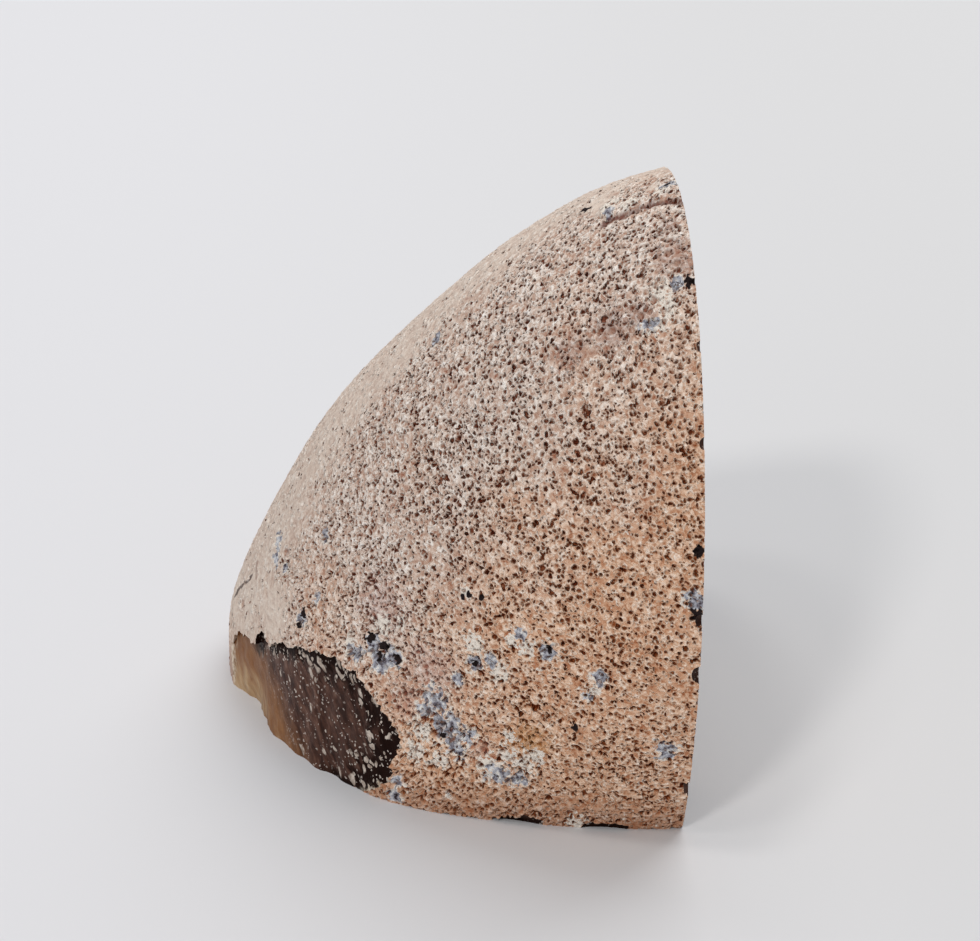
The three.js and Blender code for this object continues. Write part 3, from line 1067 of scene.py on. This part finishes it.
def sawn_material():
    """The base: sawn and left matt, with the saw's curved lines across the bands."""
    material, g, position = new_material("sawn agate")
    coords = in_millimetres(g, position)
    colour, crust, _ = banded_colour(g, position, coords)
    reach = g.vector("DISTANCE", coords, SAW_MIDDLE)
    lines = g.noise(g.combine(reach, 2.0, 4.0), 1.6, detail=3.0, roughness=0.6)
    colour = g.mix(0.5 * lines + 0.05, colour, SAW_DUST)
    set_surface(g, colour, 0.2 * crust + 0.6, height=0.08 * lines - 0.1 * crust)
    return material


SHARP_ANGLE = math.radians(40.0)  # edges with a larger bend are shaded as sharp ones


def build_stone():
    stone = make_nodule()
    stone.data.materials.append(rind_material())
    stock = make_stock()
    stock.data.materials.append(polished_material())
    stock.data.materials.append(sawn_material())
    for polygon in stock.data.polygons:
        polygon.material_index = 1 if polygon.normal.z < -0.5 else 0
    cut(stone, stock, "INTERSECT")
    broken = broken_material()
    slab = make_flake_slab()
    slab.data.materials.append(broken)
    prism = make_flake_prism()
    prism.data.materials.append(broken)
    cut(slab, prism, "INTERSECT")
    cut(stone, slab, "DIFFERENCE")
    for nick in make_nicks():
        nick.data.materials.append(broken)
        cut(stone, nick, "DIFFERENCE")
    store(stone.data, "from_outline", from_outline(mesh_points(stone.data)))
    store_marks(stone.data)
    lay_out(stone.data)
    stone.data.set_sharp_from_angle(angle=SHARP_ANGLE)
    for polygon in stone.data.polygons:
        polygon.use_smooth = True
    return stone


# ---- The flat layout that pictures of the materials are painted through ----
SHEET = 200.0  # side of the square layout, in millimetres at a scale of 1
LAYOUT = {  # where each area goes on the sheet: lower left corner, scale
    "rind": ((4.0, 57.5), 1.25),
    "polished": ((118.5, 1.5), 0.99),
    "sawn": ((70.0, 2.0), 0.62),
    "broken": ((2.0, 2.0), 1.75),
    "nicks": ((2.0, 38.0), 0.9),
}
WALL_SPREAD = 0.04  # how far the steep rim of the break is spread outwards, per millimetre


def peeled(points):
    """The rind unrolled around the nodule's long axis, true to length along that axis."""
    inside = ((points - CENTRE) @ TURN) / RADII
    inside /= np.linalg.norm(inside, axis=1)[:, None]
    polar = np.arccos(np.clip(inside[:, 0], -1.0, 1.0))
    ridge = (np.array([-1.0, 0.0, 1.0]) @ TURN) / RADII
    turned = np.arctan2(inside[:, 2], inside[:, 1]) - math.atan2(ridge[2], ridge[1])
    turned = (turned + math.pi) % (2.0 * math.pi) - math.pi
    samples = np.linspace(0.0, math.pi, 361)
    slope = np.hypot(RADII[0] * np.sin(samples), GIRTH * np.cos(samples))
    run = np.concatenate([[0.0], np.cumsum(0.5 * (slope[1:] + slope[:-1])) * samples[1]])
    return np.column_stack([turned * np.sin(polar) * GIRTH, -np.interp(polar, samples, run)])


def spread_break(points):
    """The broken face seen from the front, with its steep rim spread outwards."""
    local = on_flake(points)
    middle = np.mean(FLAKE_OUTLINE, axis=0)
    return middle + (local[:, :2] - middle) * (1.0 + WALL_SPREAD * local[:, 2:])


def lay_out(mesh):
    """Gives the mesh a layout without overlaps: the peeled rind, and flat views of the cuts."""
    points = mesh_points(mesh)
    corners = np.empty(len(mesh.loops), np.int32)
    mesh.loops.foreach_get("vertex_index", corners)
    counts = [polygon.loop_total for polygon in mesh.polygons]
    names = [material.name for material in mesh.materials]
    materials = np.repeat([names[polygon.material_index] for polygon in mesh.polygons], counts)
    is_nick = np.repeat([polygon.center.x > 0.0 for polygon in mesh.polygons], counts)
    broken = materials == "broken chalcedony"
    nick_view = np.column_stack([points[:, 2], -points[:, 0] - points[:, 1]])
    views = {
        "rind": (materials == "agate rind", peeled(points)),
        "polished": (materials == "polished agate", points[:, 1:]),
        "sawn": (materials == "sawn agate", points[:, 1::-1]),
        "broken": (broken & ~is_nick, spread_break(points)),
        "nicks": (broken & is_nick, nick_view),
    }
    places = np.zeros((len(corners), 2))
    for name, (chosen, flat) in views.items():
        corner, scale = LAYOUT[name]
        flat = flat[corners[chosen]]
        places[chosen] = (np.array(corner) + (flat - flat.min(axis=0)) * scale) / SHEET
    layer = mesh.uv_layers.new(name="OFBake")
    layer.data.foreach_set("uv", places.astype(np.float32).ravel())


# ---- Floor, camera and lights, in metres ----
CAMERA_TARGET = Vector((6.5, 2.0, 35.9)) * MM
CAMERA_DISTANCE = 0.45
CAMERA_AZIMUTH = math.radians(-4.8)
CAMERA_ELEVATION = math.radians(24.0)
FOCAL_PIXELS = 3446.0  # in a frame 980 pixels wide
FRAME_WIDTH = 980.0
SENSOR_WIDTH = 36.0
LAMPS = [  # direction towards the lamp, share of the floor's light, width in degrees
    ((-47.0, -84.0, 80.0), 0.14, 7.0),
    ((-34.0, -34.0, 80.0), 0.05, 7.0),
    ((-21.0, -13.0, 80.0), 0.09, 8.0),
]
SOFTBOXES = [  # name, place, side, share of the floor's light
    ("softbox", (0.27, 0.4, 1.0), 0.9, 0.46),
    ("fill", (-0.55, -1.1, 0.38), 0.8, 0.03),
]
DOME_SHARE = 0.28
FLOOR_LIGHT = 3.45  # light falling on the floor, in watts per square metre
LAMP_COLOUR = (1.0, 0.97, 0.93)
SOFTBOX_COLOUR = (1.0, 0.985, 0.97)
DOME_COLOUR = (0.93, 0.98, 1.05, 1.0)
FLOOR_REACH = 4000.0  # in millimetres
# The floor is painted lighter at the left and darker at the right: painted light and shade across
# it.
FLOOR_LIT_LEFT = srgb(223, 223, 226)
FLOOR_SHADED_RIGHT = srgb(213, 213, 214)


def place_in_scene(name, data, place, back):
    """An object whose own +Z looks back, away from what it points at."""
    placed = add_object(name, data)
    placed.location = place
    placed.rotation_euler = back.to_track_quat("Z", "Y").to_euler()
    return placed


def make_camera():
    back = Vector((0.0, -math.cos(CAMERA_ELEVATION), math.sin(CAMERA_ELEVATION)))
    back.rotate(Matrix.Rotation(CAMERA_AZIMUTH, 3, "Z"))
    data = bpy.data.cameras.new("camera")
    data.sensor_width = SENSOR_WIDTH
    data.lens = FOCAL_PIXELS / FRAME_WIDTH * SENSOR_WIDTH
    data.clip_start = 0.01
    camera = place_in_scene("camera", data, CAMERA_TARGET + back * CAMERA_DISTANCE, back)
    bpy.context.scene.camera = camera


def make_floor():
    far = FLOOR_REACH
    corners = [(-far, -far, 0.0), (far, -far, 0.0), (far, far, 0.0), (-far, far, 0.0)]
    floor = make_object("floor", corners, [(0, 1, 2, 3)])
    material, g, position = new_material("paper floor")
    x, _, _ = g.split(position)
    # Painted light and shade: the floor's colour goes from lighter at the left to darker at the
    # right.
    set_surface(g, g.mix(g.step(x, -0.09, 0.12), FLOOR_LIT_LEFT, FLOOR_SHADED_RIGHT), 0.9, 0.1)
    floor.data.materials.append(material)


def make_lights():
    for k, (towards, share, width) in enumerate(LAMPS):
        direction = Vector(towards).normalized()
        lamp = bpy.data.lights.new(f"lamp_{k}", "SUN")
        lamp.energy = FLOOR_LIGHT * share / direction.z
        lamp.angle = math.radians(width)
        lamp.color = LAMP_COLOUR
        place_in_scene(lamp.name, lamp, (0.0, 0.0, 0.0), direction)
    for name, place, side, share in SOFTBOXES:
        place = Vector(place)
        distance = place.length
        softbox = bpy.data.lights.new(name, "AREA")
        softbox.size = side
        softbox.energy = FLOOR_LIGHT * share * math.pi * distance**2 / (place.z / distance)
        softbox.color = SOFTBOX_COLOUR
        place_in_scene(name, softbox, place, place.normalized())
    world = bpy.data.worlds.new("studio")
    world.use_nodes = True
    background = world.node_tree.nodes["Background"]
    background.inputs["Color"].default_value = DOME_COLOUR
    background.inputs["Strength"].default_value = FLOOR_LIGHT * DOME_SHARE / math.pi
    bpy.context.scene.world = world
    bpy.context.scene.view_settings.view_transform = "Standard"


make_camera()
make_floor()
make_lights()
stone = build_stone()
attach(stone, "root")
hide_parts("agate")
